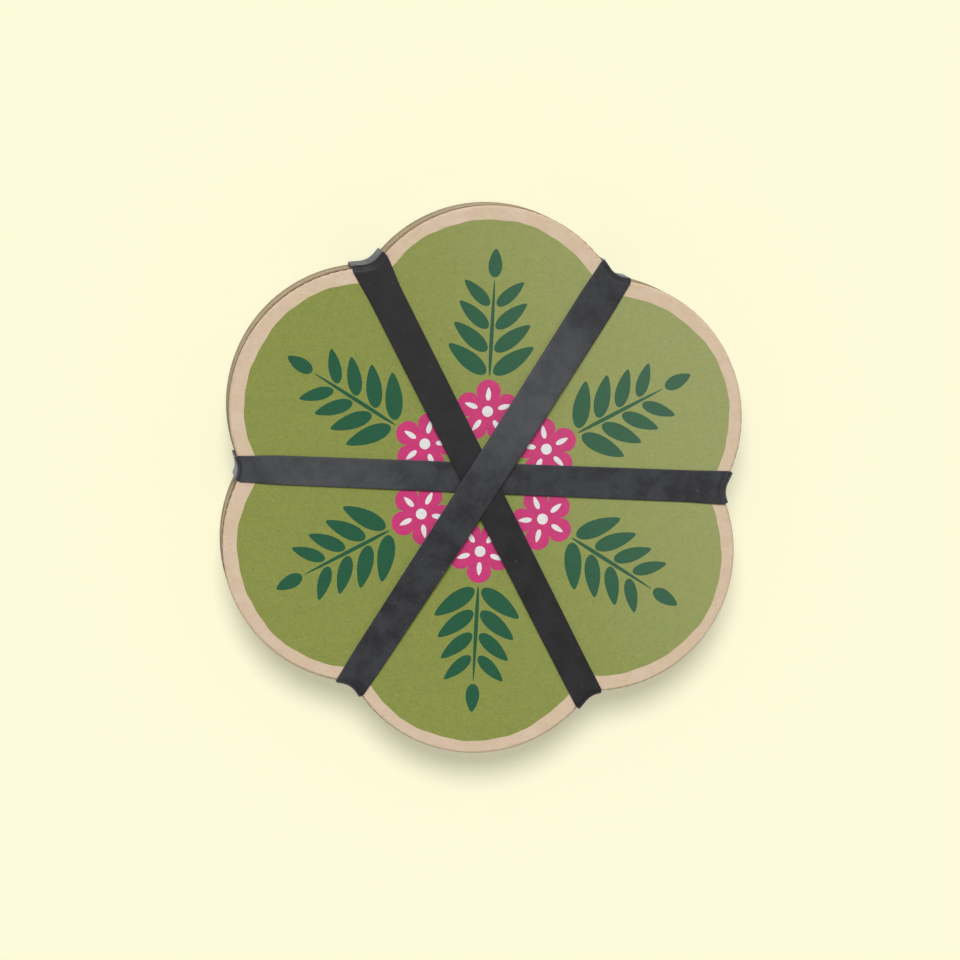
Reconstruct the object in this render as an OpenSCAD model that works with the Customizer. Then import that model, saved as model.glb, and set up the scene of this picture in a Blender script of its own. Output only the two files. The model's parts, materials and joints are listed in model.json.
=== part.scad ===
// Flower press: two lobed plywood boards, corrugated cards and blotting paper
// between them, and three stretched rubber bands that cross at the centre.
// The origin is the middle of the footprint, on the surface that the press rests on.

/* [Boards] */
// Width of a board from lobe tip to opposite lobe tip
press_w = 180; // [150:1:220]
// Radius of each rounded lobe
lobe_r = 45.8; // [42:0.2:50]
// Thickness of each plywood board
board_t = 4; // [3:0.5:8]
// Rounding of the sanded rims
edge_r = 0.8; // [0.4:0.1:1.4]

/* [Sheets] */
// Thickness of a corrugated card
card_t = 2.4; // [1.6:0.1:4]
// Thickness of each flat liner of a card
liner_t = 0.3; // [0.2:0.05:0.5]
// Thickness of the fluted paper inside a card
flute_t = 0.3; // [0.2:0.05:0.4]
// Distance from one flute crest to the next
flute_pitch = 6; // [4:0.5:9]
// Thickness of a sheet of blotting paper
blotter_t = 0.5; // [0.3:0.1:1]
// How far a card's rim lies inside the boards' rims
card_inset = 1; // [0.5:0.5:6]
// How far a blotter's rim lies inside the boards' rims
blotter_inset = 1.5; // [0.5:0.5:8]
// Air between two sheets that lie on each other
sheet_gap = 0.05; // [0.02:0.01:0.2]

/* [Bands] */
// Width of the innermost band
lower_band_w = 9.6; // [6:0.2:14]
// Width of the band between the others
middle_band_w = 10.2; // [6:0.2:14]
// Width of the outermost band
upper_band_w = 11; // [6:0.2:14]
// Thickness of a stretched band
band_t = 1; // [0.6:0.1:1.6]
// Radius of the fold down a band's middle, where it sinks into a notch
fold_r = 8; // [5:0.5:12]
// Gap between a band and what it lies on
band_gap = 0.15; // [0.1:0.05:0.3]

/* [Hidden] */

// Facets of large and small circles
round_fn = 144;
edge_fn = 32;

// Lobes of a board, and the angle from a lobe to the notch beside it
lobes = 6;
half_step = 180 / lobes;
lobe_offset = press_w / 2 - lobe_r;
lobe_x = lobe_offset * cos(half_step);
lobe_y = lobe_offset * sin(half_step);

// Middle of a band's thickness, off the rim that it runs over
band_middle = band_gap + band_t / 2;

// Fold of a band in a notch: its axis, the angle at which it meets the lobes, and half its length
fold_x = lobe_x + sqrt(pow(lobe_r + fold_r, 2) - pow(lobe_y, 2));
fold_angle = asin(lobe_y / (lobe_r + fold_r));
fold_half = arc_length(fold_r - band_middle, fold_angle);

// Sheets from the bottom up: c is a card, b is a blotter
stack_order = "cbbcbbcbbc";
sheets = len(stack_order);
card_place = search("c", stack_order, 0)[0];
blotter_place = search("b", stack_order, 0)[0];

// Heights from the resting surface up
bands = 3;
band_step = band_t + band_gap;
base_z = bands * band_step;
stack_z = base_z + board_t + sheet_gap;
lid_z = sheet_z(sheets);
lid_top_z = lid_z + board_t;

// Crests of a card's flute sink a hair into the liners, where they are glued
glue = 0.04;
flute_amplitude = (card_t - 2 * liner_t - flute_t) / 2 + glue;
flute_steps = 8;
flute_waves = 2 * ceil(press_w / flute_pitch / 2);

// Steps across a band's width, round each bend at a board's rim, and from the crossing to the rim
band_spans = 8;
bend_steps = 4;
approach_steps = 3;
// How late a band is drawn in to the width that it has in a notch
draw_in_power = 4;
// Half length of the flat stretch of a band where it crosses the others
widest_band = max(lower_band_w, middle_band_w, upper_band_w);
crossing_half = widest_band * (1 + cos(2 * half_step)) / (2 * sin(2 * half_step));

wood = [0.82, 0.72, 0.60];
kraft = [0.70, 0.58, 0.42];
paper = [0.95, 0.94, 0.89];
rubber = [0.27, 0.28, 0.29];

function sheet_t(i) = stack_order[i] == "c" ? card_t : blotter_t;
function sheet_z(i) = i == 0 ? stack_z : sheet_z(i - 1) + sheet_t(i - 1) + sheet_gap;

// Places a round shape at the centre of each lobe; it isn't turned, so all keep exactly one height
module at_lobes() {
    for (k = [0 : lobes - 1])
        let (a = (2 * k + 1) * half_step)
            translate(lobe_offset * [cos(a), sin(a)])
                children();
}

// Outline of a board, grown or shrunk all round, as a solid face
module lobed_face(grow) {
    circle(r = lobe_offset, $fn = round_fn);
    at_lobes()
        circle(r = lobe_r + grow, $fn = round_fn);
}

// One lobe of a board: a disc whose rim is rounded above and below
module rounded_lobe() {
    rotate_extrude($fn = round_fn) {
        square([lobe_r - edge_r, board_t]);
        translate([0, edge_r])
            square([lobe_r, board_t - 2 * edge_r]);
        for (z = [edge_r, board_t - edge_r])
            translate([lobe_r - edge_r, z])
                circle(r = edge_r, $fn = edge_fn);
    }
}

module board() {
    cylinder(r = lobe_offset, h = board_t, $fn = round_fn);
    at_lobes()
        rounded_lobe();
}

module bottom_board() {
    color(wood)
        translate([0, 0, base_z])
            board();
}

module top_board() {
    color(wood)
        translate([0, 0, lid_z])
            board();
}

// Wavy strip of paper between a card's liners, with its flutes running front to back
function flute_point(i, side) =
    let (x = (i / flute_steps - flute_waves / 2) * flute_pitch)
    [x, card_t / 2 + flute_amplitude * cos(360 * i / flute_steps) + side * flute_t / 2];

module flutes() {
    last = flute_waves * flute_steps;
    rotate([90, 0, 0])
        linear_extrude(press_w, center = true)
            polygon([
                for (i = [0 : last]) flute_point(i, -1),
                for (i = [last : -1 : 0]) flute_point(i, 1)
            ]);
}

module corrugated_card() {
    linear_extrude(liner_t)
        lobed_face(-card_inset);
    translate([0, 0, card_t - liner_t])
        linear_extrude(liner_t)
            lobed_face(-card_inset);
    intersection() {
        flutes();
        linear_extrude(card_t)
            lobed_face(-card_inset);
    }
}

module card(number) {
    color(kraft)
        translate([0, 0, sheet_z(card_place[number - 1])])
            corrugated_card();
}

module blotter(number) {
    color(paper)
        translate([0, 0, sheet_z(blotter_place[number - 1])])
            linear_extrude(blotter_t)
                lobed_face(-blotter_inset);
}

// Length of an arc, and the angle that an arc of a given length turns
function arc_length(r, angle) = PI * r * angle / 180;
function arc_angle(r, length) = 180 * length / (PI * r);

function reversed(list) = [for (i = [len(list) - 1 : -1 : 0]) list[i]];

// A point of a band in a notch, at the length s across it from its middle line: on the band's fold,
// and past that on the lobe's own curve. Both are grown outwards by grow.
function rim_point(s, grow) =
    let (past = abs(s) - fold_half)
    past < 0
        ? let (a = arc_angle(fold_r - band_middle, s))
          [fold_x - (fold_r - grow) * cos(a), (fold_r - grow) * sin(a)]
        : let (a = arc_angle(lobe_r + band_middle, past) - fold_angle)
          [lobe_x + (lobe_r + grow) * cos(a), sign(s) * (lobe_y + (lobe_r + grow) * sin(a))];

// The bends of a band at one end, from the top down: height of the rounded rim's centre, angle round it
bends = [
    for (i = [0 : bend_steps]) [lid_top_z - edge_r, 90 * (1 - i / bend_steps)],
    for (i = [0 : bend_steps]) [base_z + edge_r, -90 * i / bend_steps]
];

// A point on a band at one bend, s across the band and off the boards by the gap g
function bend_point(bend, end, s, g) =
    let (
        a = bend[1],
        off = edge_r + g,
        rim = rim_point(s, off * cos(a) - edge_r)
    )
    [end * rim.x, rim.y, bend[0] + off * sin(a)];

// A point on the flat stretch where the bands cross; up is 1 above the press, -1 below it
function crossing_point(x, up, level, s, g) =
    [x, s, (up > 0 ? lid_top_z : base_z) + up * (g + level * band_step)];

// Rings on the way from the crossing to the rim: a band keeps its width until the notch folds it
function approach(crossing, rim) = [
    for (i = [1 : approach_steps - 1])
        let (t = i / approach_steps)
        [
            for (k = [0 : len(rim) - 1])
                let (way = rim[k] - crossing[k])
                crossing[k] + [way.x * t, way.y * pow(t, draw_in_power), way.z * t]
        ]
];

// Rings of half a band's loop, from the crossing on top round one end to the crossing below.
// A fibre holds its place across the band and its gap to the boards.
function half_loop(end, level, fibres) =
    let (
        over = [for (f = fibres) crossing_point(end * crossing_half, 1, level, f[0], f[1])],
        bent = [for (b = bends) [for (f = fibres) bend_point(b, end, f[0], f[1])]],
        under = [for (f = fibres) crossing_point(end * crossing_half, -1, level, f[0], f[1])]
    )
    [
        over,
        each approach(over, bent[0]),
        each bent,
        each reversed(approach(under, bent[len(bent) - 1])),
        under
    ];

// The loop of a band, as rings of points round its section at each place along it
module band(angle, width, level) {
    fibres = [
        for (i = [0 : band_spans]) [(i / band_spans - 1 / 2) * width, band_gap],
        for (i = [band_spans : -1 : 0]) [(i / band_spans - 1 / 2) * width, band_gap + band_t]
    ];
    rings = [
        each half_loop(1, level, fibres),
        each reversed(half_loop(-1, level, fibres))
    ];
    n = len(fibres);
    turns = len(rings);
    rotate(angle)
        polyhedron(
            points = [for (ring = rings) each ring],
            faces = [
                for (i = [0 : turns - 1], j = [0 : n - 1])
                    let (
                        a = i * n + j,
                        b = i * n + (j + 1) % n,
                        c = (i + 1) % turns * n + (j + 1) % n,
                        d = (i + 1) % turns * n + j
                    )
                    each [[a, b, c], [a, c, d]]
            ]
        );
}

module lower_band() {
    color(rubber)
        band(0, lower_band_w, 0);
}

module middle_band() {
    color(rubber)
        band(4 * half_step, middle_band_w, 1);
}

module upper_band() {
    color(rubber)
        band(2 * half_step, upper_band_w, 2);
}

bottom_board();
for (k = [1 : len(card_place)])
    card(k);
for (k = [1 : len(blotter_place)])
    blotter(k);
top_board();
lower_band();
middle_band();
upper_band();
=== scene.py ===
"""Looks of a flower press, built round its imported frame.

Two beech boards with six round lobes hold corrugated cards and blotting paper between them, and
three stretched rubber bands cross over the middle. The upper board is printed with an olive field
inside a bare margin, six leafy sprigs and six blossoms. All lengths are in metres.
"""

import json
import logging
import math
from dataclasses import dataclass
from enum import Enum
from typing import Callable, NamedTuple, Sequence

import bpy
from mathutils import Matrix, Vector

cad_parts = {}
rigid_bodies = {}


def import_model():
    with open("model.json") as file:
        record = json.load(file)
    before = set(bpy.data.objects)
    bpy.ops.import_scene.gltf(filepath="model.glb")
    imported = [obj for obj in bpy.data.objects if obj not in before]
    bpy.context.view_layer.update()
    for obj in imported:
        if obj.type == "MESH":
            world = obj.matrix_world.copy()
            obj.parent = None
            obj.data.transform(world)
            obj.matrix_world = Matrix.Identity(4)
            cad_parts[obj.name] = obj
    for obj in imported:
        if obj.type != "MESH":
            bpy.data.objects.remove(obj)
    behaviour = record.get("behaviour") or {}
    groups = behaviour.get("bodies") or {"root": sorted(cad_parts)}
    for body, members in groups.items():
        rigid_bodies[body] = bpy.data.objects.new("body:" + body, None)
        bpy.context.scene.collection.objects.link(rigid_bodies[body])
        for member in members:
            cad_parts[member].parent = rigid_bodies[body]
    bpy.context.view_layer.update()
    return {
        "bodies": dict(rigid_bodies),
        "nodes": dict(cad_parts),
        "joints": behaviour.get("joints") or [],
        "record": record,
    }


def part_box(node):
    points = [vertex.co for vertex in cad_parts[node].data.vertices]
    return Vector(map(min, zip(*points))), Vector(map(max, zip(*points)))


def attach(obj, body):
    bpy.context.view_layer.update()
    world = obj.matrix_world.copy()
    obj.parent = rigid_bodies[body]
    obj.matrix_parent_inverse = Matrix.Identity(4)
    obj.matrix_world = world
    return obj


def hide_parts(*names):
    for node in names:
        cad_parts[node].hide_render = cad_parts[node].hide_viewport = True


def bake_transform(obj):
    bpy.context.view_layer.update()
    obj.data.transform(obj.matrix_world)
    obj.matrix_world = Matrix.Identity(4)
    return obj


LOG = logging.getLogger("flower_press")
MM = 0.001

Pair = tuple[float, float]
Triple = tuple[float, float, float]
Colour = tuple[float, float, float, float]
Socket = bpy.types.NodeSocket
Feed = float | Sequence[float] | Socket
Feeds = dict[str | int, Feed]
Rule = Callable[[Vector], Vector]


class Node(Enum):
    """The frame's pieces, by kind."""

    BOARDS = ("bottom_board", "top_board")
    CARDS = ("card_1", "card_2", "card_3", "card_4")
    BLOTTERS = ("blotter_1", "blotter_2", "blotter_3", "blotter_4", "blotter_5", "blotter_6")


class Slot(Enum):
    """The record's material slots, named for the new pieces."""

    PLYWOOD = "plywood"
    RUBBER = "rubber"


class End(Enum):
    """The two ends of a band, along its own axis."""

    RIGHT = 1
    LEFT = -1


class Side(Enum):
    """The two flat sides of the press that a band runs over."""

    OVER = 1
    UNDER = -1


class Spot(NamedTuple):
    """A point of a band's inner face, and the share of its full thickness that it has there."""

    place: Vector
    thick: float


Ring = list[Spot]


def paint(red: float, green: float, blue: float) -> Colour:
    """Turns a screen colour into the linear colour that a shader takes.

    Args:
        red: Red, from 0 to 255.
        green: Green, from 0 to 255.
        blue: Blue, from 0 to 255.

    Returns:
        Linear red, green and blue, and an alpha of 1.
    """
    def linear(value: float) -> float:
        """Undoes the screen's curve for one channel."""
        share = value / 255
        return share / 12.92 if share <= 0.04045 else ((share + 0.055) / 1.055) ** 2.4

    return linear(red), linear(green), linear(blue), 1.0


def between(start: float, end: float, share: float) -> float:
    """Goes from start to end as share goes from 0 to 1."""
    return start + (end - start) * share


def ease(share: float) -> float:
    """Eases a share in and out, and holds it between 0 and 1."""
    held = min(max(share, 0.0), 1.0)
    return held * held * (3 - 2 * held)


class Recipe:
    """Writes the nodes of a material or of a shared effect."""

    def __init__(self, tree: bpy.types.NodeTree) -> None:
        """Takes the node tree that is written."""
        self.tree = tree

    def feed(self, socket: Socket, value: Feed) -> None:
        """Gives a socket a value, or links another node's output to it."""
        if isinstance(value, Socket):
            self.tree.links.new(value, socket)
        else:
            socket.default_value = value

    def add(self, kind: str, feeds: Feeds | None = None, **settings: object) -> bpy.types.Node:
        """Adds a node.

        Args:
            kind: The node's type.
            feeds: What each named or numbered input is fed with.
            **settings: The node's own settings, made before its inputs are fed.

        Returns:
            The new node.
        """
        node = self.tree.nodes.new(kind)
        for name, value in settings.items():
            setattr(node, name, value)
        for key, value in (feeds or {}).items():
            self.feed(node.inputs[key], value)
        return node

    def calculate(self, operation: str, first: Feed, second: Feed = 0.0) -> Socket:
        """Adds a Math node and returns its value."""
        return self.add("ShaderNodeMath", {0: first, 1: second}, operation=operation).outputs[0]

    def product(self, first: Feed, second: Feed) -> Socket:
        """Multiplies two values."""
        return self.calculate("MULTIPLY", first, second)

    def apart(self, first: Feed, second: Feed) -> Socket:
        """Gives the distance between two values."""
        return self.calculate("ABSOLUTE", self.calculate("SUBTRACT", first, second))

    def span(self, value: Feed, low: Feed, high: Feed, to_low: Feed = 0.0, to_high: Feed = 1.0) -> Socket:
        """Maps a value smoothly from one range to another.

        Args:
            value: The value to map.
            low: The value that gives to_low; anything past it gives the same.
            high: The value that gives to_high; anything past it gives the same.
            to_low: Result at low.
            to_high: Result at high.

        Returns:
            The mapped value.
        """
        feeds = {"Value": value, "From Min": low, "From Max": high, "To Min": to_low, "To Max": to_high}
        return self.add("ShaderNodeMapRange", feeds, interpolation_type="SMOOTHSTEP").outputs[0]

    def mix(self, share: Feed, first: Feed, second: Feed) -> Socket:
        """Mixes two colours, from all first at 0 to all second at 1."""
        return self.add("ShaderNodeMix", {0: share, 6: first, 7: second}, data_type="RGBA").outputs[2]

    def tint(self, base: Feed, tone: Feed, mask: Feed, strength: float) -> Socket:
        """Mixes a tone into a base colour where a mask is 1, as far as its strength says."""
        return self.mix(self.product(mask, strength), base, tone)

    def moved(self, place: Feed, move: Feed) -> Socket:
        """Moves a place."""
        return self.add("ShaderNodeVectorMath", {0: place, 1: move}, operation="ADD").outputs[0]

    def noise(self, place: Feed, cells: Triple = (1.0, 1.0, 1.0), scale: Feed = 1.0,
              detail: float = 3.0, roughness: float = 0.6) -> Socket:
        """Adds soft noise.

        Args:
            place: Where the noise is read.
            cells: How many cells there are to a metre along X, Y and Z.
            scale: A number that multiplies all three.
            detail: How many finer layers are laid over it.
            roughness: How strong the finer layers are.

        Returns:
            The noise's value, which is about 0.5 on the whole.
        """
        scaled = self.add("ShaderNodeVectorMath", {0: place, 1: cells}, operation="MULTIPLY").outputs[0]
        feeds = {"Vector": scaled, "Scale": scale, "Detail": detail, "Roughness": roughness}
        return self.add("ShaderNodeTexNoise", feeds).outputs[0]

    def axis(self, vector: Feed, number: int) -> Socket:
        """Takes X, Y or Z, numbered from 0, out of a vector."""
        return self.add("ShaderNodeSeparateXYZ", {0: vector}).outputs[number]

    def along(self, vector: Feed, degrees: float) -> Socket:
        """Measures a vector along a level direction, given as an angle from X."""
        way = (math.cos(math.radians(degrees)), math.sin(math.radians(degrees)), 0.0)
        return self.add("ShaderNodeVectorMath", {0: vector, 1: way}, operation="DOT_PRODUCT").outputs[1]

    def effect(self, group: bpy.types.NodeTree, **feeds: Feed) -> dict[str, Socket]:
        """Places a shared effect, with its inputs fed by name, and returns its outputs by name."""
        named = {name.capitalize(): value for name, value in feeds.items()}
        return dict(self.add("ShaderNodeGroup", named, node_tree=group).outputs.items())


@dataclass
class Effects:
    """Effects that several finishes share, each a node group that is built once.

    Fields named cells give a noise's cells to a metre along X, Y and Z, and fields named range give
    the stretch of its values that is spread from 0 to 1.
    """

    drift_cells: Triple = (9.0, 40.0, 40.0)
    drift: float = 8.0 * MM
    figure_cells: Triple = (22.0, 330.0, 330.0)
    figure_range: Pair = (0.3, 0.7)
    thread_cells: Triple = (260.0, 2400.0, 2400.0)
    pore_cells: Triple = (640.0, 3600.0, 3600.0)
    pore_range: Pair = (0.66, 0.74)
    pore_depth: float = 0.6
    cloud_roughness: float = 0.55
    cloud_range: Pair = (0.32, 0.68)
    speck_reach: Pair = (0.18, 0.42)
    speck_core: float = 0.5
    along_cells: Triple = (700.0, 3400.0, 3400.0)
    across_cells: Triple = (3400.0, 700.0, 3400.0)
    tangle_range: Pair = (0.42, 0.72)

    def __post_init__(self) -> None:
        """Builds every effect."""
        self.grain = self._grain()
        self.clouds = self._clouds()
        self.specks = self._specks()
        self.fibres = self._fibres()

    def _open(self, name: str, *inputs: str) -> tuple[Recipe, dict[str, Socket]]:
        """Starts a node group.

        Args:
            name: The group's name.
            *inputs: Names of its inputs; Place is a vector and the others are values.

        Returns:
            The recipe to write it with, and what its inputs give, by name.
        """
        group = bpy.data.node_groups.new(name, "ShaderNodeTree")
        for label in inputs:
            kind = "NodeSocketVector" if label == "Place" else "NodeSocketFloat"
            group.interface.new_socket(label, in_out="INPUT", socket_type=kind)
        recipe = Recipe(group)
        return recipe, dict(recipe.add("NodeGroupInput").outputs.items())

    def _close(self, recipe: Recipe, results: dict[str, Socket]) -> bpy.types.NodeTree:
        """Ends a node group with an output for each named result, and returns the group."""
        for label in results:
            recipe.tree.interface.new_socket(label, in_out="OUTPUT", socket_type="NodeSocketFloat")
        recipe.add("NodeGroupOutput", results)
        return recipe.tree

    def _grain(self) -> bpy.types.NodeTree:
        """Builds wood grain along X: its broad figure, its short dark pores and its relief."""
        recipe, given = self._open("wood_grain", "Place")
        drift = recipe.noise(given["Place"], self.drift_cells, roughness=0.5)
        sway = recipe.add("ShaderNodeCombineXYZ", {1: recipe.product(drift, self.drift)}).outputs[0]
        place = recipe.moved(given["Place"], sway)
        figure = recipe.noise(place, self.figure_cells, detail=4.0)
        thread = recipe.noise(place, self.thread_cells)
        dash = recipe.noise(place, self.pore_cells, detail=0.0)
        pores = recipe.span(dash, *self.pore_range)
        relief = recipe.calculate("SUBTRACT", thread, recipe.product(pores, self.pore_depth))
        figure = recipe.span(figure, *self.figure_range)
        return self._close(recipe, {"Figure": figure, "Pores": pores, "Relief": relief})

    def _clouds(self) -> bpy.types.NodeTree:
        """Builds soft cloudy patches of a given size."""
        recipe, given = self._open("soft_clouds", "Place", "Patch")
        scale = recipe.calculate("DIVIDE", 1.0, given["Patch"])
        clouds = recipe.noise(given["Place"], scale=scale, roughness=self.cloud_roughness)
        return self._close(recipe, {"Value": recipe.span(clouds, *self.cloud_range)})

    def _specks(self) -> bpy.types.NodeTree:
        """Builds scattered specks, one in each cell of a share of the cells."""
        recipe, given = self._open("scattered_specks", "Place", "Spacing", "Share")
        scale = recipe.calculate("DIVIDE", 1.0, given["Spacing"])
        cells = recipe.add("ShaderNodeTexVoronoi", {"Vector": given["Place"], "Scale": scale})
        drawn = recipe.add("ShaderNodeSeparateColor", {0: cells.outputs["Color"]}).outputs
        chosen = recipe.calculate("LESS_THAN", drawn[0], given["Share"])
        reach = recipe.span(drawn[1], 0.0, 1.0, *self.speck_reach)
        dot = recipe.span(cells.outputs["Distance"], reach, recipe.product(reach, self.speck_core))
        return self._close(recipe, {"Mask": recipe.product(dot, chosen)})

    def _fibres(self) -> bpy.types.NodeTree:
        """Builds the tangled short fibres of card and paper."""
        recipe, given = self._open("paper_fibres", "Place")
        along = recipe.noise(given["Place"], self.along_cells)
        across = recipe.noise(given["Place"], self.across_cells)
        tangle = recipe.calculate("MAXIMUM", along, across)
        return self._close(recipe, {"Tone": recipe.span(tangle, *self.tangle_range), "Relief": tangle})


class Surface:
    """A material under construction: its recipe, its shader and where it reads its place from."""

    def __init__(self, name: str, effects: Effects, attribute: str = "") -> None:
        """Starts a material.

        Args:
            name: The material's name.
            effects: The shared effects.
            attribute: A stored place to read instead of object coordinates.
        """
        self.material = bpy.data.materials.new(name)
        self.material.use_nodes = True
        self.effects = effects
        self.recipe = Recipe(self.material.node_tree)
        self.shader = self.material.node_tree.nodes["Principled BSDF"]
        where = self.recipe.add("ShaderNodeTexCoord")
        self.normal = where.outputs["Normal"]
        self.place = where.outputs["Object"]
        if attribute:
            self.place = self.recipe.add("ShaderNodeAttribute", attribute_name=attribute).outputs["Vector"]

    def grain(self) -> dict[str, Socket]:
        """Reads the wood grain."""
        return self.recipe.effect(self.effects.grain, place=self.place)

    def clouds(self, patch: float, place: Socket | None = None) -> Socket:
        """Reads cloudy patches of a size, here or at another place."""
        return self.recipe.effect(self.effects.clouds, place=place or self.place, patch=patch)["Value"]

    def specks(self, spacing: float, share: float, place: Socket | None = None) -> Socket:
        """Reads specks that a share of the cells of a size have, here or at another place."""
        feeds = {"place": place or self.place, "spacing": spacing, "share": share}
        return self.recipe.effect(self.effects.specks, **feeds)["Mask"]

    def close(self, colour: Feed, roughness: Feed, relief: Feed, depth: float,
              specular: float) -> bpy.types.Material:
        """Joins colour, roughness and relief to the shader.

        Args:
            colour: Colour of the surface.
            roughness: How dull it is.
            relief: Its relief, about 0 to 1.
            depth: How high the relief stands.
            specular: How much it mirrors.

        Returns:
            The finished material.
        """
        bump = self.recipe.add("ShaderNodeBump", {"Height": relief, "Distance": depth})
        self.recipe.feed(self.shader.inputs["Base Color"], colour)
        self.recipe.feed(self.shader.inputs["Roughness"], roughness)
        self.recipe.feed(self.shader.inputs["Normal"], bump.outputs[0])
        self.shader.inputs["Specular IOR Level"].default_value = specular
        return self.material


@dataclass(frozen=True)
class BeechPly:
    """Beech plywood: pale sanded veneer, and a cut rim with plies between dark glue lines.

    The rim starts between face_share and cut_share of the way from the board's middle to its faces.
    """

    pale: Colour = paint(215, 194, 170)
    warm: Colour = paint(209, 186, 152)
    rosy: Colour = paint(208, 180, 158)
    pore: Colour = paint(172, 142, 114)
    rim: Colour = paint(190, 160, 124)
    core: Colour = paint(158, 124, 90)
    glue: Colour = paint(92, 64, 42)
    scorch: Colour = paint(58, 36, 27)
    scorched: float = 0.95
    scorch_least: float = 0.85
    face_share: float = 0.84
    cut_share: float = 0.66
    patch: float = 7.0 * MM
    warmth: float = 0.7
    blush_patch: float = 5.0 * MM
    blush_move: Triple = (0.21, 0.43, 0.0)
    blush: float = 0.6
    figured: float = 0.2
    pored: float = 0.16
    rim_figured: float = 0.3
    plies: int = 3
    seam_at: float = 0.5
    seam: float = 0.09
    seam_dark: float = 0.75
    seam_blur: float = 0.03
    dullness: Pair = (0.56, 0.7)
    mirror: float = 0.3
    relief: float = 0.04 * MM

    def rim_colour(self, surface: Surface, depth: Socket, figure: Socket, clouds: Socket) -> Socket:
        """Colours the cut rim: its plies, their glue lines and the browning of the cut.

        Args:
            surface: The surface that is coloured.
            depth: Distance from the board's middle, in plies.
            figure: Figure of the grain.
            clouds: Patches in which the browning is weaker.

        Returns:
            The colour.
        """
        recipe = surface.recipe
        inner = recipe.span(depth, self.seam_at + self.seam_blur, self.seam_at - self.seam_blur)
        cut = recipe.tint(recipe.mix(inner, self.rim, self.core), self.glue, figure, self.rim_figured)
        line = recipe.span(recipe.apart(depth, self.seam_at), self.seam, self.seam / 2)
        cut = recipe.tint(cut, self.glue, line, self.seam_dark)
        burnt = recipe.span(clouds, 0.0, 1.0, self.scorched, self.scorched * self.scorch_least)
        return recipe.mix(burnt, cut, self.scorch)

    def material(self, effects: Effects, name: str, slab: "Slab") -> bpy.types.Material:
        """Makes the finish of a board.

        Args:
            effects: The shared effects.
            name: The material's name.
            slab: Where the board lies.

        Returns:
            The material.
        """
        surface = Surface(name, effects)
        recipe, grain, clouds = surface.recipe, surface.grain(), surface.clouds(self.patch)
        blush = surface.clouds(self.blush_patch, recipe.moved(surface.place, self.blush_move))
        veneer = recipe.tint(self.pale, self.warm, clouds, self.warmth)
        veneer = recipe.tint(veneer, self.rosy, blush, self.blush)
        veneer = recipe.tint(veneer, self.warm, grain["Figure"], self.figured)
        veneer = recipe.tint(veneer, self.pore, grain["Pores"], self.pored)
        height = recipe.calculate("SUBTRACT", recipe.axis(surface.place, 2), slab.bottom)
        layer = recipe.calculate("DIVIDE", height, (slab.top - slab.bottom) / self.plies)
        half = self.plies / 2
        depth = recipe.apart(layer, half)
        upright = recipe.span(depth, half * self.face_share, half * self.cut_share)
        colour = recipe.mix(upright, veneer, self.rim_colour(surface, depth, grain["Figure"], clouds))
        dull = recipe.span(grain["Figure"], 0.0, 1.0, *self.dullness)
        return surface.close(colour, dull, grain["Relief"], self.relief, self.mirror)


class Mottle(NamedTuple):
    """Patches in an ink: their size, how strongly they show, and their lightness."""

    patch: float
    strength: float
    lightness: float


class Flecks(NamedTuple):
    """Specks in an ink: the size of their cells, the share of cells that has one, and their lightness."""

    spacing: float
    share: float
    lightness: float


@dataclass(frozen=True)
class Ink:
    """Printing ink: it follows the wood's pores, pale and dark specks break it, and a painted glare lightens
    it.

    Towards one side a painted highlight lightens it, from glare_from to glare_to along toward, in degrees
    from X.
    """

    colour: Colour
    wear: float = 0.35
    glare: float = 0.1
    # Painted highlight: a pale colour mixed into the ink towards one side, standing in for the lamp's glare.
    glare_colour: Colour = paint(250, 247, 222)
    toward: float = 25.0
    glare_from: float = -30.0 * MM
    glare_to: float = 90.0 * MM
    patch: float = 4.0 * MM
    clouded: float = 0.9
    warmths: Pair = (-0.08, 0.07)
    mottles: tuple[Mottle, Mottle] = (Mottle(1.4 * MM, 0.55, 0.79), Mottle(0.7 * MM, 0.45, 1.24))
    figured: float = 0.2
    figure_lightness: float = 0.93
    flecks: tuple[Flecks, Flecks] = (Flecks(1.1 * MM, 0.05, 1.4), Flecks(1.3 * MM, 0.06, 0.6))
    far: Triple = (0.37, 0.11, 0.0)
    dullness: float = 0.55
    relief: float = 0.025 * MM
    mirror: float = 0.15

    def shade(self, lightness: float, warmth: float = 0.0) -> Colour:
        """Gives the ink's colour, lighter or darker by a factor and warmer by a share of its red."""
        red, green, blue, alpha = self.colour
        return red * lightness * (1 + warmth), green * lightness, blue * lightness, alpha

    def material(self, effects: Effects, name: str) -> bpy.types.Material:
        """Makes the ink's finish.

        Args:
            effects: The shared effects.
            name: The material's name.

        Returns:
            The material.
        """
        surface = Surface(name, effects)
        recipe, grain, here = surface.recipe, surface.grain(), surface.place
        far = recipe.moved(here, self.far)
        cool, warm = (self.shade(1.0, warmth) for warmth in self.warmths)
        tone = recipe.tint(cool, warm, surface.clouds(self.patch), self.clouded)
        for place, mottle in zip((far, here), self.mottles):
            mask = surface.clouds(mottle.patch, place)
            tone = recipe.tint(tone, self.shade(mottle.lightness), mask, mottle.strength)
        tone = recipe.tint(tone, self.shade(self.figure_lightness), grain["Figure"], self.figured)
        for place, flecks in zip((here, far), self.flecks):
            mask = surface.specks(flecks.spacing, flecks.share, place)
            tone = recipe.tint(tone, self.shade(flecks.lightness), mask, self.wear)
        # Painted highlight: the ink is mixed towards a pale colour along toward, as if lit more on that side.
        side = recipe.along(here, self.toward)
        tone = recipe.mix(recipe.span(side, self.glare_from, self.glare_to, 0.0, self.glare), tone, self.glare_colour)
        return surface.close(tone, self.dullness, grain["Relief"], self.relief, self.mirror)


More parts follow.
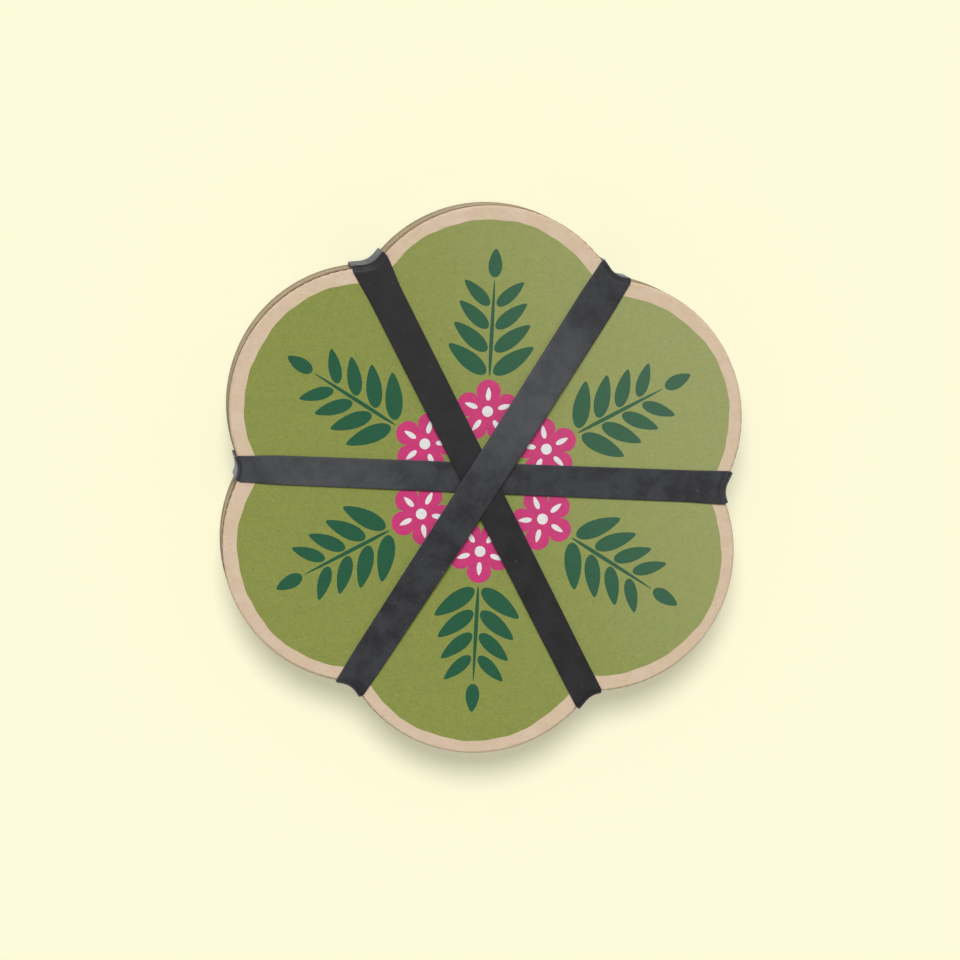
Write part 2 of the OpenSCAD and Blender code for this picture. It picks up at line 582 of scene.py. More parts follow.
@dataclass(frozen=True)
class Rubber:
    """Soft dark rubber with a cloudy bloom, painted shade on its side faces and in its creases, and a little
    dust.

    The bloom goes from plain to worn round the line at worn_at along the direction toward, in degrees
    from X. The places at rest and the creases are read from what the bands store under these names.
    """

    colour: Colour
    bloom: Colour
    plain: float = 0.0
    worn: float = 0.0
    worn_at: float = 0.0
    toward: float = 0.0
    worn_reach: float = 45.0 * MM
    worn_core: float = 5.0 * MM
    patch: float = 7.0 * MM
    clouded: float = 0.35
    fine_patch: float = 1.1 * MM
    mottled: float = 0.1
    dust: Colour = paint(112, 116, 122)
    dusty: float = 0.15
    dust_spacing: float = 1.5 * MM
    dust_share: float = 0.04
    # Painted shade: the side faces and the creases are darkened towards this near-black colour.
    cut: Colour = paint(10, 11, 12)
    side_shade_range: Pair = (0.5, 0.8)
    side_shade: float = 0.85
    crease_shade_range: Pair = (0.3, 0.5)
    crease_shade: float = 0.6
    sheen_tint: Colour = paint(196, 202, 240)
    sheen: float = 0.3
    dullness: Pair = (0.45, 0.6)
    relief: float = 0.01 * MM
    mirror: float = 0.2
    place: str = "rest_place"
    crease: str = "crease"

    def material(self, effects: Effects, name: str, across: float) -> bpy.types.Material:
        """Makes the rubber's finish, on the place that each band stores at rest.

        Args:
            effects: The shared effects.
            name: The material's name.
            across: Direction across the band, in degrees from X.

        Returns:
            The material.
        """
        surface = Surface(name, effects, self.place)
        recipe, clouds, fine = surface.recipe, surface.clouds(self.patch), surface.clouds(self.fine_patch)
        away = recipe.apart(recipe.along(surface.place, self.toward), self.worn_at)
        wear = recipe.span(away, self.worn_reach, self.worn_core, self.plain, self.worn)
        bloom = recipe.calculate("ADD", wear, recipe.product(clouds, self.clouded))
        bloom = recipe.calculate("ADD", bloom, recipe.product(fine, self.mottled))
        tone = recipe.mix(bloom, self.colour, self.bloom)
        tone = recipe.tint(tone, self.dust, surface.specks(self.dust_spacing, self.dust_share), self.dusty)
        # Painted shade: faces turned sideways across the band, and the thinned creases, are mixed towards
        # cut.
        sideways = recipe.calculate("ABSOLUTE", recipe.along(surface.normal, across))
        side = recipe.product(recipe.span(sideways, *self.side_shade_range), self.side_shade)
        crease = recipe.add("ShaderNodeAttribute", attribute_name=self.crease).outputs["Fac"]
        crease = recipe.span(crease, *self.crease_shade_range, 0.0, self.crease_shade)
        tone = recipe.mix(recipe.calculate("MAXIMUM", side, crease), tone, self.cut)
        dull = recipe.span(clouds, 0.0, 1.0, *self.dullness)
        surface.shader.inputs["Sheen Weight"].default_value = self.sheen
        surface.shader.inputs["Sheen Tint"].default_value = self.sheen_tint
        return surface.close(tone, dull, fine, self.relief, self.mirror)


@dataclass(frozen=True)
class Felted:
    """Card or paper of tangled fibres, with soft blotches and flecks."""

    colour: Colour
    deep: Colour
    fleck_share: float
    relief: float
    fleck_spacing: float = 1.5 * MM
    flecked: float = 0.5
    patch: float = 5.0 * MM
    clouded: float = 0.35
    dullness: float = 0.88
    mirror: float = 0.2

    def material(self, effects: Effects, name: str) -> bpy.types.Material:
        """Makes the sheet's finish.

        Args:
            effects: The shared effects.
            name: The material's name.

        Returns:
            The material.
        """
        surface = Surface(name, effects)
        recipe = surface.recipe
        fibres = recipe.effect(effects.fibres, place=surface.place)
        tone = recipe.mix(fibres["Tone"], self.colour, self.deep)
        tone = recipe.tint(tone, self.colour, surface.clouds(self.patch), self.clouded)
        flecks = surface.specks(self.fleck_spacing, self.fleck_share)
        tone = recipe.tint(tone, self.deep, flecks, self.flecked)
        return surface.close(tone, self.dullness, fibres["Relief"], self.relief, self.mirror)


class Workpiece:
    """A mesh on the bench: a primitive that is shaped, finished and dressed."""

    def __init__(self, name: str, primitive: Callable, **sizes: object) -> None:
        """Adds a primitive, alone and active.

        Args:
            name: The piece's name.
            primitive: The operator that adds it.
            **sizes: The operator's own settings.
        """
        bpy.ops.object.select_all(action="DESELECT")
        primitive(**sizes)
        self.obj = bpy.context.object
        self.obj.name = name
        self.obj.data.name = name

    @classmethod
    def flat(cls, name: str, points: int, rule: Rule) -> "Workpiece":
        """Cuts a flat shape: a filled circle of radius 1, pulled out to the shape's outline by a rule."""
        piece = cls(name, bpy.ops.mesh.primitive_circle_add, vertices=points, radius=1.0, fill_type="NGON")
        for vertex in piece.obj.data.vertices:
            vertex.co = rule(vertex.co.copy())
        return piece

    def hold(self) -> None:
        """Makes the piece the only one selected."""
        bpy.ops.object.select_all(action="DESELECT")
        self.obj.select_set(True)
        bpy.context.view_layer.objects.active = self.obj

    def edit(self, *steps: Callable[[], object]) -> "Workpiece":
        """Runs edit mode steps on the whole mesh, each with all of it selected."""
        self.hold()
        bpy.ops.object.mode_set(mode="EDIT")
        for step in steps:
            bpy.ops.mesh.select_all(action="SELECT")
            step()
        bpy.ops.object.mode_set(mode="OBJECT")
        return self

    def thicken(self, height: float) -> "Workpiece":
        """Extrudes a flat shape upwards into a closed solid."""
        return self.edit(
            lambda: bpy.ops.mesh.extrude_region_move(TRANSFORM_OT_translate={"value": (0, 0, height)}),
            lambda: bpy.ops.mesh.normals_make_consistent(inside=False))

    def modify(self, kind: str, **settings: object) -> "Workpiece":
        """Adds a modifier, sets it and applies it."""
        self.hold()
        modifier = self.obj.modifiers.new(kind.lower(), kind)
        for name, value in settings.items():
            setattr(modifier, name, value)
        bpy.ops.object.modifier_apply(modifier=modifier.name)
        return self

    def join(self, others: Sequence[bpy.types.Object]) -> "Workpiece":
        """Joins other objects into this piece."""
        self.hold()
        for other in others:
            other.select_set(True)
        if others:
            bpy.ops.object.join()
        return self

    def stamp(self, places: Sequence[Matrix]) -> "Workpiece":
        """Copies the piece to several places, each copy with its own mesh, and joins them into one.

        Args:
            places: Where each copy goes; the piece itself takes the first place.

        Returns:
            This piece, now made of all the copies.
        """
        copies = []
        for place in places[1:]:
            twin = self.obj.copy()
            twin.data = self.obj.data.copy()
            twin.data.transform(place)
            bpy.context.scene.collection.objects.link(twin)
            copies.append(twin)
        self.obj.data.transform(places[0])
        return self.join(copies)

    def smooth(self, degrees: float) -> "Workpiece":
        """Shades the piece smooth, apart from edges sharper than an angle."""
        self.hold()
        bpy.ops.object.shade_smooth_by_angle(angle=math.radians(degrees))
        return self

    def dress(self, material: bpy.types.Material, slot: Slot) -> bpy.types.Object:
        """Gives the piece its finish, and returns its object."""
        self.obj.data.materials.clear()
        self.obj.data.materials.append(material)
        return self.obj


@dataclass(frozen=True)
class Slab:
    """Where a board lies: the heights of its lower and upper face."""

    bottom: float
    top: float

    @classmethod
    def of(cls, node: str) -> "Slab":
        """Reads a board's heights from the frame."""
        low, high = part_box(node)
        return cls(low.z, high.z)


@dataclass(frozen=True)
class Lobes:
    """The outline that both boards share: round lobes with a notch between each two."""

    count: int = 6
    tip: float = 90.0 * MM
    radius: float = 45.8 * MM
    rim: float = 0.8 * MM

    @property
    def centre(self) -> Vector:
        """Centre of the lobe to the left of a notch, as seen along the notch's own axis."""
        offset = self.tip - self.radius
        half_step = math.pi / self.count
        return Vector((offset * math.cos(half_step), offset * math.sin(half_step)))


@dataclass(frozen=True)
class Notch:
    """A band's way through a notch: its fold down the middle, and the lobes beside it."""

    lobes: Lobes
    middle: float
    fold: float = 8.0 * MM

    def point(self, across: float, grow: float) -> Vector:
        """Finds a point of the curve that a band follows, seen from above.

        Args:
            across: Length across the band from the notch's middle line.
            grow: How far the curve lies outside the rim.

        Returns:
            The point, along the notch's axis and across it.
        """
        centre, radius = self.lobes.centre, self.lobes.radius
        turn = math.asin(centre.y / (radius + self.fold))
        past = abs(across) - (self.fold - self.middle) * turn
        if past < 0:
            axis, reach = centre.x + (radius + self.fold) * math.cos(turn), self.fold - grow
            angle = across / (self.fold - self.middle)
            return Vector((axis - reach * math.cos(angle), reach * math.sin(angle)))
        angle, reach = past / (radius + self.middle) - turn, radius + grow
        side = math.copysign(1.0, across)
        return Vector((centre.x + reach * math.cos(angle), side * (centre.y + reach * math.sin(angle))))


@dataclass(frozen=True)
class Crease:
    """Where a band bends over the rim: a shallow groove across it, and its width there.

    The groove takes depth of the band's thickness at past_rim past the start of the bend, and fades
    along the band over about spread. Across the band it has its full depth within half of reach from
    centre, half of it at reach and none at one and a half times reach, as shares of the width. narrow
    is the band's width at the bend as a share of its width on the flat, over 1 where it splays.
    """

    depth: float = 0.35
    past_rim: float = 0.35 * MM
    spread: float = 0.45 * MM
    centre: float = 0.0
    reach: float = 0.6
    narrow: float = 0.92

    def thickness(self, past: float, share: float) -> float:
        """Works out how much of the band's thickness is left.

        Args:
            past: Length along the band past the start of its bend.
            share: Place across the band, from -0.5 to 0.5.

        Returns:
            The share of the full thickness.
        """
        along = math.exp(-(((past - self.past_rim) / self.spread) ** 2))
        return 1 - self.depth * along * ease(1.5 - abs(share - self.centre) / self.reach)


@dataclass
class Band:
    """A flat rubber band, stretched round the press through two opposite notches.

    Its widths, offsets and creases are given for its right and its left end. It has its full
    thickness at the crossing, and the share thin of it at the bends.
    """

    name: str
    node: str
    degrees: float
    level: int
    widths: Pair
    offsets: Pair
    creases: tuple[Crease, Crease]
    finish: Rubber
    top: Slab
    base: Slab
    lobes: Lobes
    thickness: float = 1.0 * MM
    gap: float = 0.15 * MM
    edge: float = 0.22 * MM
    edge_steps: int = 3
    edge_angle: float = 60.0
    smooth_angle: float = 50.0
    weld: float = 0.0022 * MM
    crossing: float = 11.0 * MM
    draw_in: float = 13.0 * MM
    thin: float = 0.78
    spans: int = 16
    approach_steps: int = 30
    bend_steps: int = 9

    def crease(self, end: End) -> Crease:
        """Picks the crease at one end."""
        return self.creases[0] if end is End.RIGHT else self.creases[1]

    def lane(self, x: float, share: float) -> float:
        """Finds how far to the side a fibre runs on the flat.

        Args:
            x: Place along the band from its middle.
            share: The fibre's place across the band, from -0.5 to 0.5.

        Returns:
            The distance to the band's left of the line between its two notches.
        """
        along = (x / (self.lobes.tip - self.lobes.rim) + 1) / 2
        width = between(self.widths[1], self.widths[0], along)
        return between(self.offsets[1], self.offsets[0], along) + share * width

    def shares(self) -> list[float]:
        """Lists the fibres' places across the band."""
        return [i / self.spans - 0.5 for i in range(self.spans + 1)]

    def crossing_ring(self, end: End, side: Side) -> Ring:
        """Lists the points across the band at the edge of the flat stretch where the bands cross."""
        lift = self.gap + self.level * (self.thickness + self.gap)
        z = self.top.top + lift if side is Side.OVER else self.base.bottom - lift
        x = end.value * self.crossing
        return [Spot(Vector((x, self.lane(x, share), z)), 1.0) for share in self.shares()]

    def bends(self) -> list[Pair]:
        """Lists the bends at an end from the top down: height of the rim's centre, and the angle."""
        quarter, rim = math.pi / 2, self.lobes.rim
        steps = [i / self.bend_steps for i in range(self.bend_steps + 1)]
        over = [(self.top.top - rim, between(quarter, 0.0, t)) for t in steps]
        under = [(self.base.bottom + rim, between(0.0, -quarter, t)) for t in steps]
        return over + under

    def bend_ring(self, end: End, height: float, angle: float) -> Ring:
        """Lists the points across the band at one bend over a board's rim.

        Args:
            end: The end of the band.
            height: Height of the rim's centre.
            angle: Angle of the bend, from a quarter turn on top to the same below.

        Returns:
            The ring.
        """
        notch = Notch(self.lobes, self.gap + self.thickness / 2)
        off = self.lobes.rim + self.gap
        past = (math.pi / 2 - angle) * off + (self.top.top - self.lobes.rim - height)
        ring = []
        for share in self.shares():
            lane = self.lane(end.value * self.lobes.tip, share * self.crease(end).narrow)
            rim = notch.point(lane, off * math.cos(angle) - self.lobes.rim)
            spot = Vector((end.value * rim.x, rim.y, height + off * math.sin(angle)))
            ring.append(Spot(spot, self.thin * self.crease(end).thickness(past, share)))
        return ring

    def approach(self, end: End, side: Side, crossing: Ring, rim: Ring) -> list[Ring]:
        """Lists the rings from the crossing to the rim, closer together towards the rim.

        Args:
            end: The end of the band.
            side: The side of the press.
            crossing: The ring at the crossing.
            rim: The ring at the start of the bend.

        Returns:
            The rings between these two.
        """
        rings = []
        for step in range(1, self.approach_steps):
            t = 1 - (1 - step / self.approach_steps) ** 2
            ring = []
            for share, (near, _), (far, _) in zip(self.shares(), crossing, rim):
                x = between(near.x, far.x, t)
                before = abs(far.x - x)
                folded = (far.y - self.lane(far.x, share)) * ease(1 - before / self.draw_in)
                spot = Vector((x, self.lane(x, share) + folded, between(near.z, far.z, t)))
                thick = self.crease(end).thickness(-before, share) if side is Side.OVER else 1.0
                ring.append(Spot(spot, thick * between(1.0, self.thin, ease(t))))
            rings.append(ring)
        return rings

    def half_loop(self, end: End) -> list[Ring]:
        """Lists the rings round one end, from the crossing on top to the one underneath."""
        over, under = self.crossing_ring(end, Side.OVER), self.crossing_ring(end, Side.UNDER)
        bent = [self.bend_ring(end, *bend) for bend in self.bends()]
        above = self.approach(end, Side.OVER, over, bent[0])
        below = self.approach(end, Side.UNDER, under, bent[-1])
        return [over, *above, *bent, *reversed(below), under]

    def strip(self) -> Workpiece:
        """Lays a strip round the press with its ends together, its thickness stored as a vertex group."""
        rings = [*self.half_loop(End.RIGHT), *reversed(self.half_loop(End.LEFT))]
        rings.append(rings[0])
        turns = len(rings) - 1
        strip = Workpiece(self.name, bpy.ops.mesh.primitive_grid_add, size=2.0,
                          x_subdivisions=turns, y_subdivisions=self.spans)
        turn = Matrix.Rotation(math.radians(self.degrees), 3, "Z")
        full = strip.obj.vertex_groups.new(name="thickness")
        for vertex in strip.obj.data.vertices:
            spot = rings[round((vertex.co.x + 1) / 2 * turns)][round((vertex.co.y + 1) / 2 * self.spans)]
            full.add([vertex.index], spot.thick, "REPLACE")
            vertex.co = turn @ spot.place
        return strip

    def build(self, effects: Effects) -> bpy.types.Object:
        """Closes the strip into a band with its thickness, soft edges and finish."""
        strip = self.strip()
        strip.edit(lambda: bpy.ops.mesh.remove_doubles(threshold=self.weld),
                   lambda: bpy.ops.mesh.normals_make_consistent(inside=False))
        strip.modify("SOLIDIFY", thickness=self.thickness, offset=1.0, vertex_group="thickness")
        strip.modify("BEVEL", width=self.edge, segments=self.edge_steps, limit_method="ANGLE",
                     angle_limit=math.radians(self.edge_angle))
        self.remember(strip.obj.data)
        strip.obj.vertex_groups.clear()
        strip.smooth(self.smooth_angle)
        band = strip.dress(self.finish.material(effects, self.name, self.degrees + 90), Slot.RUBBER)
        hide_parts(self.node)
        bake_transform(band)
        return band

    def remember(self, mesh: bpy.types.Mesh) -> None:
        """Stores each vertex's place at rest and its crease, which the finish reads."""
        place, crease = self.finish.place, self.finish.crease
        mesh.attributes.new(place, "FLOAT_VECTOR", "POINT")
        mesh.attributes.new(crease, "FLOAT", "POINT")
        stored = zip(mesh.vertices, mesh.attributes[place].data, mesh.attributes[crease].data)
        for vertex, here, creased in stored:
            here.vector = vertex.co
            creased.value = 1 - sum(group.weight for group in vertex.groups)


class Wave(NamedTuple):
    """Waves along the field's edge: how many go round it, their height and where they start."""

    count: int
    height: float
    phase: float


@dataclass(frozen=True)
class Field:
    """The lobed field of the print: one arc on each lobe, as uneven as a hand-cut edge.

    Every second of its notches is deeper by notch_change, and the ones between are as much less deep.
    """

    lobes: int = 6
    offset: float = 45.56 * MM
    radius: float = 40.05 * MM
    unevenness: float = 0.22 * MM
    waves: tuple[Wave, ...] = (Wave(5, 1.0, 0.7), Wave(13, 0.8, 2.1), Wave(29, 0.5, 0.0), Wave(71, 0.35, 1.3))
    notch_change: float = 0.42 * MM
    points: int = 540

    def reach(self, angle: float) -> float:
        """Works out how far the edge is from the middle, in a direction given as an angle."""
        step = 2 * math.pi / self.lobes
        off = (angle + step / 2) % step - step / 2
        reach = self.offset * math.cos(off)
        reach += math.sqrt(self.radius ** 2 - (self.offset * math.sin(off)) ** 2)
        ripple = sum(wave.height * math.sin(wave.count * angle + wave.phase) for wave in self.waves)
        return reach + self.unevenness * ripple - self.notch_change * math.sin(self.lobes / 2 * angle)

    def cut(self, name: str) -> Workpiece:
        """Cuts the field flat, with its first lobe on +X."""
        def outline(v: Vector) -> Vector:
            """Pulls a circle out to the field's edge."""
            angle = math.atan2(v.y, v.x)
            reach = self.reach(angle)
            return Vector((reach * math.cos(angle), reach * math.sin(angle), 0))

        return Workpiece.flat(name, self.points, outline)


@dataclass(frozen=True)
class Leaf:
    """A leaf that is round at its foot and slimmer towards its tip.

    It is an oval whose width is multiplied by foot at its foot, and by foot less taper at its tip.
    The higher bend is, the later it slims.
    """

    length: float
    width: float
    foot: float = 1.12
    taper: float = 0.55
    bend: int = 2
    points: int = 40

    def cut(self, name: str, place: Matrix) -> Workpiece:
        """Cuts the leaf flat, with its foot at a place and pointing along the place's X."""
        def outline(v: Vector) -> Vector:
            """Pulls a circle out to the leaf's outline."""
            along = (v.x + 1) / 2
            half = self.width / 2 * (self.foot - self.taper * along ** self.bend)
            return place @ Vector((along * self.length, v.y * half, 0))

        return Workpiece.flat(name, self.points, outline)


@dataclass(frozen=True)
class Sprig:
    """A sprig along X: a slim stem with slanting pairs of leaves and one leaf at its end.

    The pairs start at first_pair and take up pair_run of the stem. From the first pair on, the
    leaves get smaller by the share shrink and less slanted by unslant degrees.
    """

    start: float = 34.5 * MM
    end: float = 66.0 * MM
    stem_width: float = 1.3 * MM
    stem_foot: float = 1.2
    stem_taper: float = 0.5
    stem_points: int = 48
    pairs: int = 4
    first_pair: float = 0.03
    pair_run: float = 0.94
    leaf_length: float = 15.5 * MM
    leaf_width: float = 5.6 * MM
    slant: float = 54.0
    unslant: float = 10.0
    shrink: float = 0.35
    tip_gap: float = 0.78 * MM
    tip_length: float = 9.3 * MM
    tip_width: float = 4.48 * MM

    def cut(self, name: str) -> Workpiece:
        """Cuts the sprig flat, as one piece."""
        run = self.end - self.start
        stem = Leaf(run, self.stem_width, self.stem_foot, self.stem_taper, bend=1, points=self.stem_points)
        sprig = stem.cut(name, Matrix.Translation((self.start, 0, 0)))
        leaves = []
        for pair in range(self.pairs):
            share = pair / self.pairs
            scale = 1 - self.shrink * share
            leaf = Leaf(self.leaf_length * scale, self.leaf_width * scale)
            along = self.start + run * (self.first_pair + self.pair_run * share)
            for side in (1, -1):
                foot = Matrix.Translation((along, side * self.stem_width, 0))
                slant = Matrix.Rotation(side * math.radians(self.slant - self.unslant * share), 4, "Z")
                leaves.append(leaf.cut("leaf", foot @ slant).obj)
        tip = Leaf(self.tip_length, self.tip_width)
        leaves.append(tip.cut("leaf", Matrix.Translation((self.end + self.tip_gap, 0, 0))).obj)
        return sprig.join(leaves)


@dataclass(frozen=True)
class Blossom:
    """A blossom on X with rounded petals, a round heart and a seed-shaped mark on each petal.

    All its sizes but at and radius are shares of its radius. The lower roundness is, the fuller the
    petals are.
    """

    at: float = 23.0 * MM
    radius: float = 10.4 * MM
    petals: int = 5
    waist: float = 0.56
    roundness: float = 0.55
    heart: float = 0.17
    mark_at: float = 0.34
    mark_length: float = 0.42
    mark_width: float = 0.16
    points: int = 160
    heart_points: int = 40

    def cut_petals(self, name: str) -> Workpiece:
        """Cuts the blossom's outline flat."""
        def outline(v: Vector) -> Vector:
            """Pulls a circle out to the petals' outline."""
            angle = math.atan2(v.y, v.x)
            full = abs(math.cos(self.petals * angle / 2)) ** self.roundness
            reach = self.radius * between(self.waist, 1.0, full)
            return Vector((self.at + reach * math.cos(angle), reach * math.sin(angle), 0))

        return Workpiece.flat(name, self.points, outline)

    def cut_marks(self, name: str) -> Workpiece:
        """Cuts the heart and the petals' marks flat, as one piece."""
        middle, radius = Vector((self.at, 0, 0)), self.radius
        heart = Workpiece.flat(name, self.heart_points, lambda v: middle + v * radius * self.heart)
        mark = Leaf(radius * self.mark_length, radius * self.mark_width)
        marks = []
        for petal in range(self.petals):
            turn = Matrix.Rotation(2 * math.pi * petal / self.petals, 4, "Z")
            foot = Matrix.Translation((radius * self.mark_at, 0, 0))
            marks.append(mark.cut("mark", Matrix.Translation(middle) @ turn @ foot).obj)
        return heart.join(marks)


@dataclass
class Print:
    """The print on the upper board: an olive field, and a sprig and a blossom on each lobe."""

    board: Slab
    copies: int = 6
    layer: float = 0.02 * MM
    film: float = 0.002 * MM
    shift: Pair = (0.25 * MM, -0.2 * MM)
    field: Field = Field()
    sprig: Sprig = Sprig()
    blossom: Blossom = Blossom()
    olive: Ink = Ink(paint(134, 142, 70))
    green: Ink = Ink(paint(30, 84, 59), wear=0.3, glare=0.04)
    pink: Ink = Ink(paint(198, 56, 116), wear=0.3, glare=0.03)
    white: Ink = Ink(paint(226, 224, 222), wear=0.2, glare=0.0)

    def places(self, layer: int) -> list[Matrix]:
        """Lists where a motif drawn along +X goes: once on each lobe, on a layer of the print."""
        height = self.board.top + self.film + layer * (self.layer + self.film)
        step = math.pi / self.copies
        lift = Matrix.Translation((*self.shift, height))
        return [lift @ Matrix.Rotation((2 * k + 1) * step, 4, "Z") for k in range(self.copies)]

    def lay(self, piece: Workpiece, places: list[Matrix], ink: bpy.types.Material) -> bpy.types.Object:
        """Lays a flat motif on the board.

        Args:
            piece: The motif, still flat.
            places: Where its copies go.
            ink: Its finish.

        Returns:
            The printed piece, which rides on the lid.
        """
        printed = piece.thicken(self.layer).stamp(places).dress(ink, Slot.PLYWOOD)
        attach(printed, "lid")
        return printed

    def build(self, effects: Effects) -> list[bpy.types.Object]:
        """Lays every layer of the print, from the field up to the hearts."""
        motifs = [
            (self.field.cut("print_field"), self.places(0)[:1], self.olive, "olive_ink"),
            (self.sprig.cut("print_leaves"), self.places(1), self.green, "dark_green_ink"),
            (self.blossom.cut_petals("print_blossoms"), self.places(1), self.pink, "magenta_ink"),
            (self.blossom.cut_marks("print_hearts"), self.places(2), self.white, "white_ink"),
        ]
        return [self.lay(piece, places, ink.material(effects, name)) for piece, places, ink, name in motifs]


@dataclass
class Studio:
    """The camera above the press, the pale floor and the soft light.

    The camera leans by tilt degrees in the direction toward, and is then turned. aim_px is the pixel
    of the picture that shows the point at the height aim above the origin. The picture is image
    pixels across, and pixel is how much of the press one of them shows there.
    """

    backdrop: Colour = paint(255, 252, 219)
    aim: float = 14.0 * MM
    aim_px: Pair = (479.98, 477.3)
    image: float = 960.0
    pixel: float = 0.3285 * MM
    distance: float = 1.5
    sensor: float = 36.0
    clip: float = 100.0
    tilt: float = 8.44
    toward: float = 133.3
    turn: float = 3.06
    floor_size: float = 12.0
    floor_gap: float = 0.05 * MM
    glow: float = 0.4
    lamp_power: float = 2.56
    lamp_tilt: Pair = (-25.5, -7.0)
    lamp_spread: float = 23.0
    room_low: float = 0.12
    room_high: float = 0.3
    room_top: float = 0.9

    def camera(self) -> None:
        """Looks down at the press, a little from its left and back, turned as in the photograph."""
        data = bpy.data.cameras.new("camera")
        data.sensor_width = self.sensor
        data.lens = self.sensor * self.distance / (self.image * self.pixel)
        data.clip_end = self.clip
        camera = bpy.data.objects.new("camera", data)
        lean = Matrix.Rotation(math.radians(self.tilt), 3, "Y")
        back = Matrix.Rotation(math.radians(self.toward), 3, "Z") @ lean @ Vector((0, 0, 1))
        right = Vector((0, 1, 0)).cross(back).normalized()
        pose = Matrix((right, back.cross(right), back)).transposed()
        pose = Matrix.Rotation(math.radians(self.turn), 3, back) @ pose
        across, rise = (self.image / 2 - self.aim_px[0]), (self.aim_px[1] - self.image / 2)
        place = Vector((0, 0, self.aim)) + back * self.distance
        place += (pose.col[0] * across + pose.col[1] * rise) * self.pixel
        camera.matrix_world = Matrix.Translation(place) @ pose.to_4x4()
        bpy.context.scene.collection.objects.link(camera)
        bpy.context.scene.camera = camera

    def seen(self, recipe: Recipe) -> Socket:
        """Gives 1 for rays that show the backdrop itself: from the camera, a mirror or glass."""
        rays = recipe.add("ShaderNodeLightPath").outputs
        shown = recipe.calculate("MAXIMUM", rays["Is Camera Ray"], rays["Is Glossy Ray"])
        return recipe.calculate("MAXIMUM", shown, rays["Is Transmission Ray"])

    def floor(self) -> None:
        """Lays the pale floor, which glows a little where it is seen and still takes the shadow."""
        plane = Workpiece("floor", bpy.ops.mesh.primitive_plane_add, size=self.floor_size,
                          location=(0.0, 0.0, -self.floor_gap))
        material = bpy.data.materials.new("floor")
        material.use_nodes = True
        material.node_tree.nodes.clear()
        recipe = Recipe(material.node_tree)
        matt = recipe.add("ShaderNodeBsdfDiffuse", {"Color": self.backdrop})
        glow = recipe.add("ShaderNodeEmission", {"Color": self.backdrop, "Strength": 1.0})
        share = recipe.product(self.seen(recipe), self.glow)
        blend = recipe.add("ShaderNodeMixShader", {0: share, 1: matt.outputs[0], 2: glow.outputs[0]})
        recipe.add("ShaderNodeOutputMaterial", {0: blend.outputs[0]})
        plane.obj.data.materials.append(material)

    def room(self) -> None:
        """Fills the room with soft light that is brighter overhead, behind the same pale backdrop."""
        world = bpy.data.worlds.new("room")
        world.use_nodes = True
        world.node_tree.nodes.clear()
        recipe = Recipe(world.node_tree)
        way = recipe.add("ShaderNodeTexCoord").outputs["Generated"]
        level = recipe.span(recipe.axis(way, 2), 0.0, self.room_top, self.room_low, self.room_high)
        room = recipe.add("ShaderNodeBackground", {0: (1.0, 1.0, 1.0, 1.0), 1: level}).outputs[0]
        backdrop = recipe.add("ShaderNodeBackground", {0: self.backdrop, 1: 1.0}).outputs[0]
        mixed = recipe.add("ShaderNodeMixShader", {0: self.seen(recipe), 1: room, 2: backdrop})
        recipe.add("ShaderNodeOutputWorld", {0: mixed.outputs[0]})
        bpy.context.scene.world = world

    def lamp(self) -> None:
        """Hangs one broad lamp beyond the top of the picture."""
        data = bpy.data.lights.new("key", "SUN")
        data.energy = self.lamp_power
        data.angle = math.radians(self.lamp_spread)
        lamp = bpy.data.objects.new("key", data)
        lamp.rotation_euler = tuple(math.radians(tilt) for tilt in self.lamp_tilt) + (0.0,)
        bpy.context.scene.collection.objects.link(lamp)

    def build(self) -> None:
        """Sets up the camera, floor, room and lamp."""
        self.camera()
        self.floor()
        self.room()
        self.lamp()
        bpy.context.scene.view_settings.view_transform = "Standard"


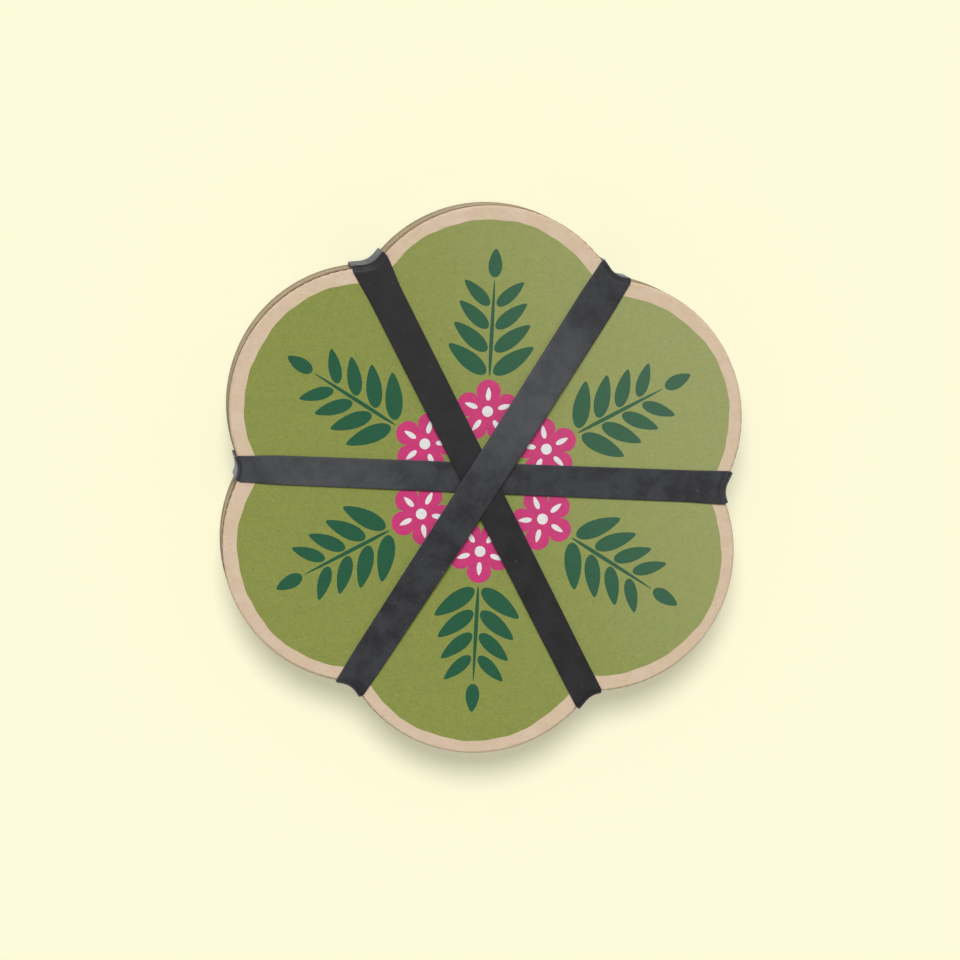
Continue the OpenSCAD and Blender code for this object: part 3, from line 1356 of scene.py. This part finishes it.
@dataclass
class Press:
    """The whole press: boards and sheets from the frame, with bands and print of their own."""

    frame: dict
    upper: BeechPly = BeechPly()
    # Painted shade: the lower board is the same beech in darker, greyer colours, for the shade it lies in
    # under the upper board.
    lower: BeechPly = BeechPly(
        pale=paint(172, 160, 137), warm=paint(164, 150, 124), rosy=paint(168, 151, 131),
        pore=paint(138, 118, 94), rim=paint(166, 150, 124), core=paint(146, 126, 98),
        scorched=0.12, face_share=0.95, cut_share=0.76)
    card: Felted = Felted(paint(192, 164, 126), paint(160, 130, 92), fleck_share=0.12, relief=0.05 * MM)
    paper: Felted = Felted(paint(240, 237, 226), paint(224, 218, 203), fleck_share=0.04, relief=0.07 * MM)

    def dress(self, node: str, material: bpy.types.Material) -> None:
        """Gives one of the frame's pieces its finish."""
        piece = self.frame["nodes"][node]
        for slot in piece.material_slots:
            slot.material = material
        LOG.info("%s: finished as %s", node, material.name)

    def bands(self) -> list[Band]:
        """Lists the three bands, innermost first."""
        shared = {"top": Slab.of("top_board"), "base": Slab.of("bottom_board"), "lobes": Lobes()}
        dark, light = paint(20, 20, 29), paint(72, 74, 78)
        faint = {"depth": 0.15, "centre": 0.3}
        return [
            Band("lower_band_rubber", "lower_band", degrees=0.0, level=0,
                 widths=(10.6 * MM, 9.35 * MM), offsets=(1.31 * MM, 0.7 * MM),
                 creases=(Crease(past_rim=-0.7 * MM, narrow=0.99), Crease(centre=-0.1, narrow=0.82)),
                 finish=Rubber(dark, light, 0.07, 0.48, worn_at=52.0 * MM, toward=180.0), **shared),
            Band("middle_band_rubber", "middle_band", degrees=120.0, level=1,
                 widths=(11.2 * MM, 9.9 * MM), offsets=(0.58 * MM, 1.75 * MM),
                 creases=(Crease(centre=0.1, narrow=1.06), Crease(**faint, narrow=0.95)),
                 finish=Rubber(paint(11, 11, 18), paint(44, 44, 50), sheen=0.18), **shared),
            Band("upper_band_rubber", "upper_band", degrees=60.0, level=2,
                 widths=(12.7 * MM, 10.7 * MM), offsets=(0.7 * MM, -0.05 * MM),
                 creases=(Crease(centre=-0.12, narrow=0.91), Crease(**faint, narrow=0.9)),
                 finish=Rubber(dark, light, 0.0, 0.6, worn_at=32.0 * MM, toward=60.0), **shared),
        ]

    def build(self) -> None:
        """Finishes every piece, in order from the boards to the print."""
        effects = Effects()
        for node, wood in zip(Node.BOARDS.value, (self.lower, self.upper)):
            self.dress(node, wood.material(effects, f"beech_{node}", Slab.of(node)))
        card = self.card.material(effects, "kraft_card")
        for node in Node.CARDS.value:
            self.dress(node, card)
        paper = self.paper.material(effects, "felted_paper")
        for node in Node.BLOTTERS.value:
            self.dress(node, paper)
        pieces = [band.build(effects) for band in self.bands()]
        pieces += Print(Slab.of("top_board")).build(effects)
        for piece in pieces:
            LOG.info("%s: %d faces", piece.name, len(piece.data.polygons))


def main() -> None:
    logging.basicConfig(level=logging.INFO, format="%(name)s: %(message)s")
    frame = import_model()
    Studio().build()
    Press(frame).build()


if __name__ == "__main__":
    main()
